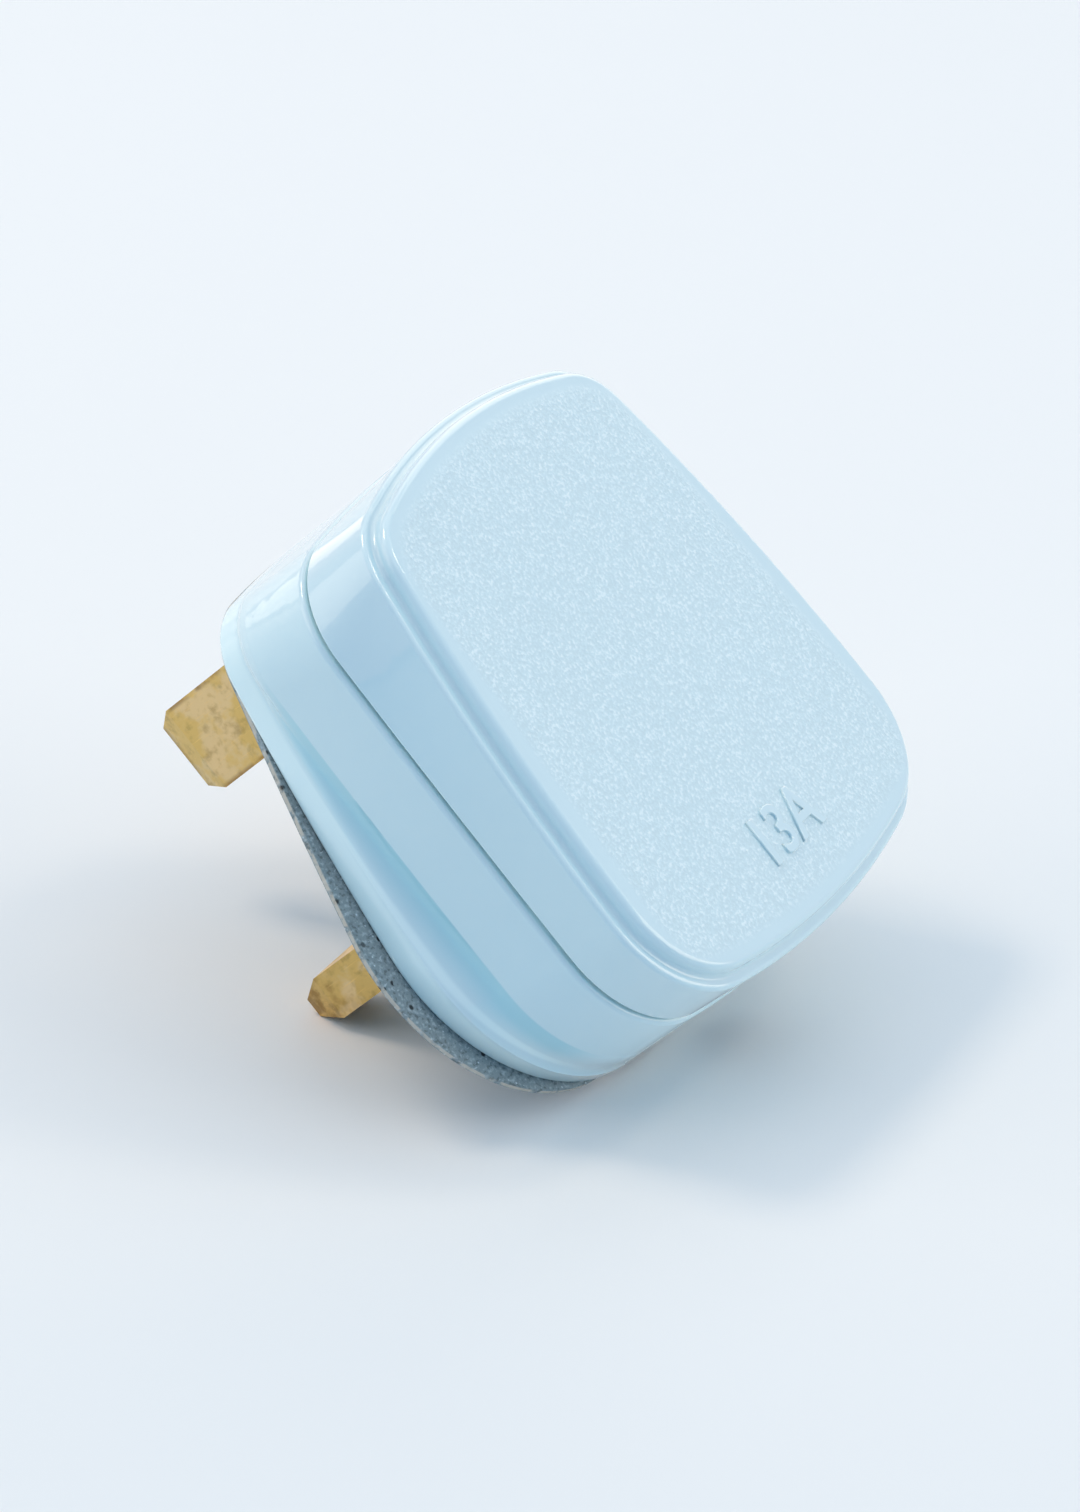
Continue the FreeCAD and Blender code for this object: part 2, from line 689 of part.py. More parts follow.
# Line terminal: a plate under the fuse clip and a block that clamps the wire
def make_live_terminal():
    body = new_body("live_terminal")
    left = f"{BLOCK_RIGHT} - terminal_block_width"
    start = f"{TERMINAL_CLIP_MIDDLE} - terminal_depth / 2"
    plate = add_sketch(body, "plate", "floor_thickness")
    draw_rectangle(plate, left, start, f"{FUSE_PLACE} + clip_foot_width / 2 - ({left})", "terminal_depth")
    pad(body, plate, "live_plate_thickness")
    block = add_sketch(body, "block", "floor_thickness")
    draw_rectangle(block, left, start, "terminal_block_width", "terminal_depth")
    pad(body, block, f"{LIVE_BLOCK_TOP} - floor_thickness")
    drill_terminal(
        body, *LIVE_SCREW_PLACE, "terminal_wire_hole",
        f"{LIVE_PLATE_TOP} + terminal_wire_height", LIVE_BLOCK_TOP,
    )
    return body


# Fuse clip: a springy ring, open on top, on a foot
def make_clip(label, middle):
    body = new_body(label)
    ring = add_sketch(body, "ring", f"-({middle}) - clip_length / 2", "XZ_Plane")
    draw_circle(ring, FUSE_PLACE, FUSE_AXIS, "fuse_diameter + 2 * clip_thickness")
    draw_circle(ring, FUSE_PLACE, FUSE_AXIS, "fuse_diameter")
    pad(body, ring, "clip_length")
    foot = add_sketch(body, "foot", f"-({middle}) - clip_length / 2", "XZ_Plane")
    draw_rectangle(
        foot, f"{FUSE_PLACE} - clip_foot_width / 2", LIVE_PLATE_TOP,
        "clip_foot_width", "clip_foot_height + clip_thickness / 2",
    )
    pad(body, foot, "clip_length")
    mouth = add_sketch(body, "mouth", f"{FUSE_AXIS} + fuse_diameter")
    draw_centred(mouth, FUSE_PLACE, middle, "clip_mouth", "2 * clip_length")
    pocket(body, mouth, "fuse_diameter")
    return body


def revolve(body, sketch):
    """A full turn of a sketch about the body's own Z axis."""
    feature = body.newObject("PartDesign::Revolution", f"{sketch.Name}_turned")
    feature.Profile = sketch
    feature.ReferenceAxis = (sketch, ["V_Axis"])
    feature.Angle = 360
    doc.recompute()


# Fuse barrel: a ceramic tube, stepped down where the caps go over it
def make_fuse_barrel():
    body = new_body("fuse_barrel")
    profile = add_sketch(body, "profile", role="XZ_Plane")
    draw_rectangle(
        profile, "fuse_bore / 2", "fuse_cap_wall",
        "(fuse_diameter - fuse_bore) / 2 - fuse_cap_wall", "fuse_length - 2 * fuse_cap_wall",
    )
    revolve(body, profile)
    belt = add_sketch(body, "belt", role="XZ_Plane")
    draw_rectangle(
        belt, "(fuse_bore + fuse_diameter) / 4", "fuse_cap_length",
        "(fuse_diameter - fuse_bore) / 4 - fuse_cap_wall / 2", "fuse_length - 2 * fuse_cap_length",
    )
    revolve(body, belt)
    return body


# Fuse cap: a thin cup over one end of the barrel
def make_fuse_cap(label):
    body = new_body(label)
    disc = add_sketch(body, "disc")
    draw_circle(disc, "0", "0", "fuse_diameter")
    pad(body, disc, "fuse_cap_length")
    bore = add_sketch(body, "bore", "fuse_cap_length")
    draw_circle(bore, "0", "0", "fuse_diameter - 2 * fuse_cap_wall")
    pocket(body, bore, "fuse_cap_length - fuse_cap_wall")
    return body


# Slotted screw, with its shank down from the origin and its head up
def make_screw(label, kind, length):
    body = new_body(label)
    shank = add_sketch(body, "shank")
    draw_circle(shank, "0", "0", f"{kind}_shank")
    pad(body, shank, length, down=True)
    head = add_sketch(body, "head")
    draw_circle(head, "0", "0", f"{kind}_head")
    pad(body, head, f"{kind}_head_height")
    slot = add_sketch(body, "slot", f"{kind}_head_height")
    draw_centred(slot, "0", "0", f"2 * {kind}_head", "slot_width")
    pocket(body, slot, "slot_depth")
    return body


def terminal_screw(side):
    return make_screw(f"{side}_terminal_screw", "terminal_screw", "terminal_screw_length")


def grip_screw(side):
    return make_screw(f"cord_grip_screw_{side}", "grip_screw", "grip_screw_length")


# Cord grip: a bar on two posts, arched over the cord
def make_cord_grip():
    body = new_body("cord_grip_bar")
    bar = add_sketch(body, "bar", GRIP_SEAT)
    draw_centred(bar, "0", GRIP_ROW, "grip_length", "grip_depth")
    pad(body, bar, "grip_thickness")
    holes = add_sketch(body, "holes", GRIP_TOP)
    for place in GRIP_PLACES:
        draw_circle(holes, place, GRIP_ROW, "grip_screw_shank + 2 * screw_clearance")
    pocket(body, holes, "grip_thickness")
    arch = add_sketch(body, "arch", f"-({GRIP_ROW}) - grip_depth", "XZ_Plane")
    draw_circle(arch, "0", f"{GRIP_SEAT} + grip_arch_rise - cord_hole / 2", "cord_hole")
    pocket(body, arch, "2 * grip_depth", up=True)
    return body


# Retaining washer of the cover screw
def make_washer():
    body = new_body("cover_screw_washer")
    ring = add_sketch(body, "ring", f"{BASE_BOSS_TOP} - washer_thickness")
    draw_circle(ring, "0", "cover_screw_offset", "washer_diameter")
    draw_circle(ring, "0", "cover_screw_offset", "cover_screw_shank")
    pad(body, ring, "washer_thickness")
    return body


# Threaded insert in the cover's boss
def make_insert():
    body = new_body("cover_insert")
    ring = add_sketch(body, "ring", "seam_height")
    draw_circle(ring, "0", "cover_screw_offset", "insert_diameter")
    draw_circle(ring, "0", "cover_screw_offset", "cover_screw_shank")
    pad(body, ring, "insert_length")
    return body


# Instruction card slipped over the pins, against the pin face
def make_card():
    body = new_body("instruction_card")
    sheet_face = outline_sketch(body, "sheet", "-card_thickness", CARD)
    for place in ROW_PLACES:
        draw_centred(
            sheet_face, place, "0",
            "row_pin_width + 2 * card_hole_clearance", "pin_thickness + 2 * card_hole_clearance",
        )
    draw_centred(
        sheet_face, "0", "earth_offset",
        "pin_thickness + 2 * card_hole_clearance", "earth_pin_width + 2 * card_hole_clearance",
    )
    draw_circle(sheet_face, "0", "cover_screw_offset", "cover_screw_head + 2 * card_screw_margin")
    pad(body, sheet_face, "card_thickness")
    return body


# Resting place: the plug tips back until its card's edge and the line and neutral pin tips touch down
def resting_tilt():
    """The angle about X, in degrees, that stands the plug on its pin tips and its cord end."""
    tip_corners = [
        ("row_tip_depth - pin_thickness / 2", "-row_pin_reach"),
        ("-pin_thickness / 2", "row_tip_length - row_pin_reach"),
    ]
    card_edge = [("-card_cord_reach", "-card_thickness")]

    def lowest(places, tilt):
        return min(value(y) * math.sin(tilt) + value(z) * math.cos(tilt) for y, z in places)

    upright = 0.0
    tipped = math.pi / 2
    while tipped - upright > 1e-9:
        middle = (upright + tipped) / 2
        if lowest(tip_corners, middle) < lowest(card_edge, middle):
            upright = middle
        else:
            tipped = middle
    return math.degrees(upright)


def at(x="0", y="0", z="0", turn=0):
    """A piece's own place on the plug, from formulas, with a turn about X in degrees."""
    across = FreeCAD.Vector(1, 0, 0)
    spot = FreeCAD.Vector(value(x), value(y), value(z))
    return FreeCAD.Placement(spot, FreeCAD.Rotation(across, turn))


pieces = [
    (make_base(), at()),
    (make_cover(), at()),
    (make_earth_pin(), at()),
    (make_neutral_pin(), at()),
    (make_live_pin(), at()),
    (make_sleeve("neutral_pin_sleeve", ROW_PLACES[0]), at()),
    (make_sleeve("live_pin_sleeve", ROW_PLACES[1]), at()),
    (make_live_terminal(), at()),
    (make_clip("fuse_clip_pin_side", PIN_CLIP_MIDDLE), at()),
    (make_clip("fuse_clip_terminal_side", TERMINAL_CLIP_MIDDLE), at()),
    (make_fuse_barrel(), at(FUSE_PLACE, FUSE_START, FUSE_AXIS, -90)),
    (make_fuse_cap("fuse_cap_pin_side"), at(FUSE_PLACE, FUSE_START, FUSE_AXIS, -90)),
    (make_fuse_cap("fuse_cap_terminal_side"), at(FUSE_PLACE, FUSE_END, FUSE_AXIS, 90)),
    (terminal_screw("earth"), at("0", "earth_offset", HEAD_TOP)),
    (terminal_screw("neutral"), at(ROW_PLACES[0], "0", HEAD_TOP)),
    (terminal_screw("live"), at(*LIVE_SCREW_PLACE, LIVE_BLOCK_TOP)),
    (make_cord_grip(), at()),
    (grip_screw("left"), at(GRIP_PLACES[0], GRIP_ROW, GRIP_TOP)),
    (grip_screw("right"), at(GRIP_PLACES[1], GRIP_ROW, GRIP_TOP)),
    (
        make_screw("cover_screw", "cover_screw", COVER_SCREW_LENGTH),
        at("0", "cover_screw_offset", "screw_seat_height", 180),
    ),
    (make_washer(), at()),
    (make_insert(), at()),
    (make_card(), at()),
]

# The whole plug is tipped into its resting place, and its box's lower middle is the frame's origin
tipping = at(turn=resting_tilt())
for body, place in pieces:
    body.Placement = tipping.multiply(place)
doc.recompute()
whole = FreeCAD.BoundBox()
for body, place in pieces:
    whole.add(body.Shape.optimalBoundingBox(False, False))
lift = FreeCAD.Placement(FreeCAD.Vector(-whole.Center.x, -whole.Center.y, -whole.ZMin), FreeCAD.Rotation())
for body, place in pieces:
    body.Placement = lift.multiply(body.Placement)
doc.recompute()

for item in doc.Objects:
    if "Invalid" in item.State or "Error" in item.State:
        raise RuntimeError(f"{item.Name} has the state {item.State}")
os.makedirs("parts", exist_ok=True)
for body, place in pieces:
    if body.Shape.isNull() or not body.Shape.isValid():
        raise RuntimeError(f"{body.Label} has no sound shape")
    body.Shape.exportStep(f"parts/{body.Label}.step")
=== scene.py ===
"""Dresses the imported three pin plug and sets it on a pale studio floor."""

import functools
import json
import math

import bmesh
import bpy
from bpy.props import FloatProperty, FloatVectorProperty, PointerProperty, StringProperty
from bpy.types import Operator, Panel, PropertyGroup
from mathutils import Matrix, Vector


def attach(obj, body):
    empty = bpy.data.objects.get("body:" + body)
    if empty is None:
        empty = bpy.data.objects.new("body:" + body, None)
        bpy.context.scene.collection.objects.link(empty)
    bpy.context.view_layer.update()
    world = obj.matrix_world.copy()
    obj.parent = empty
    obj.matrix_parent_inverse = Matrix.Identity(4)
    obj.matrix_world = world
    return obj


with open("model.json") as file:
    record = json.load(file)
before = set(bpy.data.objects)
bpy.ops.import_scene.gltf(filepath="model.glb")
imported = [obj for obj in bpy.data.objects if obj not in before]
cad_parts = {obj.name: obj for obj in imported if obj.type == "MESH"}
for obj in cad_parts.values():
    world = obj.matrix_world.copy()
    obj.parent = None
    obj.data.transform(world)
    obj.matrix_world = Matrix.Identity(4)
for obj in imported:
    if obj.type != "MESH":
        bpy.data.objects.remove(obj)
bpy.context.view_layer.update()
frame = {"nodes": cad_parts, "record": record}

bl_info = {
    "name": "Three Pin Plug Dressing",
    "version": (1, 0, 0),
    "blender": (4, 5, 0),
    "location": "View3D > Sidebar > Plug",
    "description": "Finishes for a three pin mains plug, its rating mark and its stage",
    "category": "Object",
}

# Lengths in the plug's own frame are in millimetres, and in the scene in metres.
MM = 0.001

# The plug's own frame: x along the row of pins, y from the cord end to the earth end, z out of the cover,
# from the point on the pin face between the line and neutral pins.
ROW_PIN_REACH = 18.0
EARTH_PIN_OFFSET = 22.23
EARTH_PIN_HALF = 4.0
COVER_TOP = 20.5
CREST_HEIGHT = 3.15
CREASE_HEIGHT = 6.15
CREASE_DROP = 1.2
SEAM_MIDDLE = 13.02
CARD_EDGE_MIDDLE = -0.27

# The cover's flat top: half its width at the row of pins and how much that narrows in a millimetre towards
# the earth end, how far its two ends lie from the row and how they bulge, and how round its corners are.
TOP_HALF_WIDTH = 21.4
TOP_NARROWING = 0.075
TOP_EARTH_END = 29.4
TOP_EARTH_BULGE = 1 / 112
TOP_CORD_END = 17.4
TOP_CORD_BULGE = 1 / 180
TOP_CORNER = 6.0

# Soft borders in the plug's own frame, from where a finish is absent to where it is full.
# The three scoop borders bound the painted shade in the base's scoops.
SCOOP_SIDES = (13.0, 17.0)
SCOOP_EARTH_END = (25.0, 18.0)
SCOOP_CORD_END = (-16.5, -12.5)
ROW_PINS = (12.0, 8.0)
ROW_PIN_TIPS = (-11.5, -17.0)
EARTH_PIN_TIP = (-21.4, -22.6)

# Depth of the relief in each finish, in metres.
SKIN_DEPTH = 0.00002
BRUSHED_DEPTH = 0.000012
PIT_DEPTH = 0.00003
WASHER_DEPTH = 0.00004
BOARD_DEPTH = 0.00012

# Colours of pieces inside that have no settings of their own.
CERAMIC_DARK = (0.70, 0.66, 0.58)
CERAMIC_PALE = (0.80, 0.77, 0.70)
CERAMIC_PIT = (0.45, 0.41, 0.35)
WASHER_DARK = (0.13, 0.020, 0.012)
WASHER_PALE = (0.26, 0.050, 0.030)
GRIP_PLASTIC = (0.55, 0.62, 0.66)

# Height of a capital as a share of the font's size.
CAPITAL_SHARE = 0.7

# The stage in metres: half the floor's width, the point that the lamps face and the camera's nearest sight.
FLOOR_HALF = 3.0
LAMP_AIM = (0, 0, 0.03)
NEAREST_SIGHT = 0.01

# Width of the camera's sensor in millimetres.
SENSOR_WIDTH = 36.0

# Power of the small lamp at the cord end, as a share of the power of the one at the earth end.
CORD_END_LAMP_SHARE = 0.45

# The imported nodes, grouped by their finish.
HOUSING_BASE = ("base",)
HOUSING_COVER = ("cover",)
BRASS_PINS = ("earth_pin", "neutral_pin", "live_pin", "live_terminal")
PIN_SLEEVES = ("neutral_pin_sleeve", "live_pin_sleeve")
SPRING_METAL = (
    "fuse_clip_pin_side", "fuse_clip_terminal_side", "fuse_cap_pin_side", "fuse_cap_terminal_side",
)
FUSE_BARREL = ("fuse_barrel",)
BRASS_SCREWS = ("earth_terminal_screw", "neutral_terminal_screw", "live_terminal_screw", "cover_insert")
STEEL_SCREWS = ("cord_grip_screw_left", "cord_grip_screw_right", "cover_screw")
CORD_GRIP = ("cord_grip_bar",)
FIBRE_WASHER = ("cover_screw_washer",)
BOARD_CARD = ("instruction_card",)


def mount(name):
    """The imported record's mount of that name."""
    return next(entry for entry in frame["record"]["mounts"] if entry["name"] == name)


PLUG_UP = -Vector(mount("earth_blade")["axis"])
PLUG_ALONG = -Vector(mount("cord_inlet")["axis"])
TILT = math.atan2(PLUG_ALONG.z, PLUG_ALONG.y)
ROW_TIPS = (Vector(mount("neutral_blade")["pos_m"]) + Vector(mount("live_blade")["pos_m"])) / 2
PLUG_ORIGIN = ROW_TIPS + PLUG_UP * ROW_PIN_REACH * MM
PLUG_FRAME = Matrix.Translation(PLUG_ORIGIN) @ Matrix.Rotation(TILT, 4, "X") @ Matrix.Scale(MM, 4)


class Signal:
    """One output socket of a sheet of nodes, which works in Python arithmetic."""

    def __init__(self, sheet, socket):
        self.sheet = sheet
        self.socket = socket

    def maths(self, operation, *terms):
        made = self.sheet.node("ShaderNodeMath", {"operation": operation}, dict(enumerate(terms)))
        return Signal(self.sheet, made.outputs[0])

    def __add__(self, other):
        return self.maths("ADD", self, other)

    __radd__ = __add__

    def __sub__(self, other):
        return self.maths("SUBTRACT", self, other)

    def __rsub__(self, other):
        return self.maths("SUBTRACT", other, self)

    def __mul__(self, other):
        return self.maths("MULTIPLY", self, other)

    __rmul__ = __mul__

    def __abs__(self):
        return self.maths("ABSOLUTE", self)

    def least(self, other, softness):
        return self.maths("SMOOTH_MIN", self, other, softness)

    def most(self, other):
        return self.maths("MAXIMUM", self, other)

    def step(self, low, high):
        """0 below low, 1 above high, and a soft step between; low may be the larger."""
        sockets = {"Value": self, "From Min": low, "From Max": high}
        made = self.sheet.node("ShaderNodeMapRange", {"interpolation_type": "SMOOTHSTEP"}, sockets)
        return Signal(self.sheet, made.outputs["Result"])


class NodeSheet:
    """The nodes of a material or of the surround."""

    def __init__(self, tree):
        self.tree = tree

    def node(self, kind, settings=None, sockets=None):
        """A new node of that kind, with its settings made before its sockets get values or links."""
        made = self.tree.nodes.new(kind)
        for name, value in (settings or {}).items():
            setattr(made, name, value)
        for key, value in (sockets or {}).items():
            self.feed(made.inputs[key], value)
        return made

    def feed(self, socket, value):
        """A link from a signal, or a plain value."""
        if isinstance(value, Signal):
            self.tree.links.new(value.socket, socket)
        else:
            socket.default_value = value

    def blend(self, factor, first, second):
        """The first colour where the factor is 0 and the second where it is 1."""
        first, second = (self.opaque(colour) for colour in (first, second))
        made = self.node("ShaderNodeMix", {"data_type": "RGBA"}, {0: factor, 6: first, 7: second})
        return Signal(self, made.outputs[2])

    def opaque(self, colour):
        return colour if isinstance(colour, Signal) else (*colour, 1.0)


class Finish(NodeSheet):
    """One procedural material, whose patterns lie in the plug's own frame in millimetres."""

    def __init__(self, title, constants=None):
        self.material = bpy.data.materials.new(title)
        self.material.use_nodes = True
        super().__init__(self.material.node_tree)
        self.shader = self.tree.nodes["Principled BSDF"]
        for socket, value in (constants or {}).items():
            self.shader.inputs[socket].default_value = value
        self.place = self.plug_place()

    def plug_place(self):
        """Each point of the surface in the plug's own frame."""
        coordinates = self.node("ShaderNodeTexCoord")
        turned_back = PLUG_FRAME.inverted()
        sockets = {
            "Vector": Signal(self, coordinates.outputs["Object"]),
            "Location": turned_back.translation,
            "Rotation": (-TILT, 0, 0),
            "Scale": (1 / MM, 1 / MM, 1 / MM),
        }
        return Signal(self, self.node("ShaderNodeMapping", {}, sockets).outputs["Vector"])

    def axes(self):
        """The three coordinates of the plug's own frame."""
        parts = self.node("ShaderNodeSeparateXYZ", {}, {"Vector": self.place})
        return [Signal(self, parts.outputs[axis]) for axis in "XYZ"]

    def stretched(self, scale):
        """The place with each axis scaled, for patterns that run along one of them."""
        sockets = {0: self.place, 1: scale}
        made = self.node("ShaderNodeVectorMath", {"operation": "MULTIPLY"}, sockets)
        return Signal(self, made.outputs["Vector"])

    def noise(self, per_mm, detail, place=None):
        """Cloudy noise from 0 to 1 with that many patches in a millimetre."""
        sockets = {"Vector": place or self.place, "Scale": per_mm, "Detail": detail}
        return Signal(self, self.node("ShaderNodeTexNoise", {}, sockets).outputs["Fac"])

    def cells(self, per_mm, output="Distance"):
        """Distance to the nearest of scattered points, or that point's random colour."""
        sockets = {"Vector": self.place, "Scale": per_mm}
        made = self.node("ShaderNodeTexVoronoi", {}, sockets)
        return Signal(self, made.outputs[output])

    def flecks(self, per_mm, size, share):
        """1 in scattered flecks of that size, for that share of the points, and 0 elsewhere."""
        chance = self.node("ShaderNodeSeparateColor", {}, {"Color": self.cells(per_mm, "Color")})
        chosen = Signal(self, chance.outputs["Red"]).step(share, share - 0.02)
        return self.cells(per_mm).step(size, size * 0.5) * chosen

    def colour(self, value):
        self.feed(self.shader.inputs["Base Color"], value)

    def roughness(self, value):
        self.feed(self.shader.inputs["Roughness"], value)

    def relief(self, height, depth):
        """A bump from a height signal, with the depth in metres of a height of 1."""
        sockets = {"Height": height, "Strength": 1.0, "Distance": depth}
        made = self.node("ShaderNodeBump", {}, sockets)
        self.feed(self.shader.inputs["Normal"], Signal(self, made.outputs["Normal"]))


def clad(nodes, material):
    """Puts one finish on every material slot of the named nodes."""
    for name in nodes:
        for place in frame["nodes"][name].material_slots:
            place.material = material


def shaded(colour, share):
    """The same colour with each channel times a share."""
    return tuple(channel * share for channel in colour)


class HousingSettings(PropertyGroup):
    """Colours and grain of the two mouldings, with the colours of their painted shade, highlights and
    glints.
    """

    plastic: FloatVectorProperty(
        name="Plastic", description="Colour of the moulded plastic", subtype="COLOR", size=3,
        default=(0.605, 0.78, 0.825), min=0.0, max=1.0)
    # This deeper blue is painted shade, standing in for the shade in the flange's scoops.
    painted_scoop_shade: FloatVectorProperty(
        name="Scoop", description="Deeper colour of the plastic in the flange's scoops", subtype="COLOR",
        size=3, default=(0.38, 0.67, 0.75), min=0.0, max=1.0)
    # This paler colour is painted light: highlights on the lip and the crests, and a light band along the
    # seam.
    painted_highlight: FloatVectorProperty(
        name="Thin", description="Paler colour of the thin plastic at the seam, the lip and the crests",
        subtype="COLOR", size=3, default=(0.80, 0.96, 0.96), min=0.0, max=1.0)
    # This pale colour is painted light: glints painted on the grain of the top.
    painted_glint: FloatVectorProperty(
        name="Speck", description="Colour of the specks of the grained top", subtype="COLOR", size=3,
        default=(0.79, 0.91, 0.93), min=0.0, max=1.0)
    grain_pitch: FloatProperty(
        name="Grain pitch", description="Distance between the specks of the grained top, in millimetres",
        default=0.30, min=0.05, max=2.0)
    grain_depth: FloatProperty(
        name="Grain depth", description="Height of the grain of the top", subtype="DISTANCE",
        default=0.0001, min=0.0, max=0.001, precision=6)
    smooth_border: FloatProperty(
        name="Smooth border", description="Width of the smooth rim round the grained top, in millimetres",
        default=1.2, min=0.0, max=10.0)


class MarkSettings(PropertyGroup):
    """The raised rating on the cover."""

    words: StringProperty(
        name="Rating", description="Raised rating on the cover", default="13A")
    letter_height: FloatProperty(
        name="Letter height", description="Height of the raised figures", subtype="DISTANCE",
        default=0.0042, min=0.001, max=0.02, precision=4)
    relief: FloatProperty(
        name="Relief", description="How far the figures stand out of the cover, under their rounding",
        subtype="DISTANCE", default=0.00014, min=0.00005, max=0.002, precision=5)
    stroke_rounding: FloatProperty(
        name="Stroke rounding", description="Rounding of the figures' upper edges", subtype="DISTANCE",
        default=0.0001, min=0.0, max=0.001, precision=5)
    place: FloatVectorProperty(
        name="Place", description="Middle of the rating on the cover, in millimetres", size=2,
        default=(-0.2, -11.1))


class MetalSettings(PropertyGroup):
    """Colours of the pins, screws and springs."""

    brass: FloatVectorProperty(
        name="Brass", description="Colour of clean brass", subtype="COLOR", size=3,
        default=(0.68, 0.48, 0.17), min=0.0, max=1.0)
    tarnish: FloatVectorProperty(
        name="Tarnish", description="Colour of dull patches on the brass", subtype="COLOR", size=3,
        default=(0.72, 0.60, 0.35), min=0.0, max=1.0)
    stain: FloatVectorProperty(
        name="Stain", description="Colour of brown stains on the brass", subtype="COLOR", size=3,
        default=(0.26, 0.16, 0.06), min=0.0, max=1.0)
    steel: FloatVectorProperty(
        name="Steel", description="Colour of plated steel", subtype="COLOR", size=3,
        default=(0.58, 0.58, 0.56), min=0.0, max=1.0)
    sleeve: FloatVectorProperty(
        name="Sleeve", description="Colour of the sleeves on the pins", subtype="COLOR", size=3,
        default=(0.022, 0.022, 0.025), min=0.0, max=1.0)


class CardSettings(PropertyGroup):
    """Colours of the board card on the pin face."""

    board: FloatVectorProperty(
        name="Board", description="Colour of the grey board", subtype="COLOR", size=3,
        default=(0.26, 0.31, 0.32), min=0.0, max=1.0)
    pale_fibre: FloatVectorProperty(
        name="Pale fibre", description="Colour of pale fibres in the board", subtype="COLOR", size=3,
        default=(0.52, 0.58, 0.61), min=0.0, max=1.0)
    cut_edge: FloatVectorProperty(
        name="Cut edge", description="Colour of the card's cut edge", subtype="COLOR", size=3,
        default=(0.62, 0.55, 0.46), min=0.0, max=1.0)


class StageSettings(PropertyGroup):
    """Floor, lights and camera."""

    floor: FloatVectorProperty(
        name="Floor", description="Colour of the studio floor", subtype="COLOR", size=3,
        default=(0.88, 0.845, 0.825), min=0.0, max=1.0)
    surround: FloatVectorProperty(
        name="Surround", description="Colour and strength of the light from all round", subtype="COLOR",
        size=3, default=(0.01, 0.28, 0.57), min=0.0, max=1.0)
    backdrop: FloatVectorProperty(
        name="Backdrop", description="Colour that gloss and metal reflect", subtype="COLOR", size=3,
        default=(0.92, 0.72, 0.76), min=0.0, max=1.0)
    lamp: FloatVectorProperty(
        name="Lamps", description="Colour of the soft lamps", subtype="COLOR", size=3,
        default=(1.0, 0.84, 0.64), min=0.0, max=1.0)
    key_power: FloatProperty(
        name="Key power", description="Power of the soft lamp beyond the earth end", unit="POWER",
        default=1.4, min=0.0, max=100.0)
    low_power: FloatProperty(
        name="Low power", description="Power of the low strip lamp beyond the earth end", unit="POWER",
        default=0.26, min=0.0, max=100.0)
    fill_power: FloatProperty(
        name="Fill power", description="Power of the soft lamp beyond the cord end", unit="POWER",
        default=2.7, min=0.0, max=100.0)
    back_power: FloatProperty(
        name="Back power", description="Power of the soft lamp behind the live side", unit="POWER",
        default=1.7, min=0.0, max=100.0)
    crisp_power: FloatProperty(
        name="Crisp power", description="Power of the small lamp at the earth end, for crisp shadows",
        unit="POWER", default=1.4, min=0.0, max=100.0)
    top_power: FloatProperty(
        name="Top power", description="Power of the large soft lamp overhead", unit="POWER",
        default=5.7, min=0.0, max=100.0)
    eye: FloatVectorProperty(
        name="Eye", description="Place of the camera", subtype="TRANSLATION", unit="LENGTH", size=3,
        default=(-0.384510, -0.191466, 0.240545))
    aim: FloatVectorProperty(
        name="Aim", description="Point that the camera looks at", subtype="TRANSLATION", unit="LENGTH",
        size=3, default=(0.003015, -0.002546, 0.019251))
    roll: FloatProperty(
        name="Roll", description="Turn of the camera about its own axis", subtype="ANGLE",
        default=math.radians(1.617))
    lens: FloatProperty(
        name="Lens", description="Focal length in millimetres on a sensor 36 mm wide",
        default=200.0, min=10.0)


def scoop_shade_and_crest_highlights(x, y, z):
    """1 in the scoops of the flange, where shade is painted, and 1 on the crests below them, where
    highlights are painted, with soft borders.
    """
    crease = CREASE_HEIGHT - y * (CREASE_DROP / EARTH_PIN_OFFSET)
    depth = (crease - z) * (1 / (CREASE_HEIGHT - CREST_HEIGHT))
    sides = abs(x).step(*SCOOP_SIDES) * y.step(*SCOOP_EARTH_END) * y.step(*SCOOP_CORD_END)
    # Painted shade: full just below the crease, fading out towards the crest.
    scoop_shade_mask = depth.step(-0.02, 0.06) * depth.step(1.0, 0.35)
    # Painted highlight: a narrow pale line along the crest below each scoop.
    crest_highlight = abs(depth - 1.0).step(0.16, 0.04)
    return scoop_shade_mask * sides, crest_highlight * sides


def grained_top(x, y, z, border):
    """1 on the cover's flat top inside a smooth border of that width, and 0 elsewhere."""
    side = TOP_HALF_WIDTH - TOP_NARROWING * y - abs(x)
    earth = TOP_EARTH_END - y - x * x * TOP_EARTH_BULGE
    cord = TOP_CORD_END + y - x * x * TOP_CORD_BULGE
    inside = side.least(earth, TOP_CORNER).least(cord, TOP_CORNER)
    top = z.step(COVER_TOP - 0.3, COVER_TOP - 0.1)
    return inside.step(border * 0.5, border * 1.6) * top


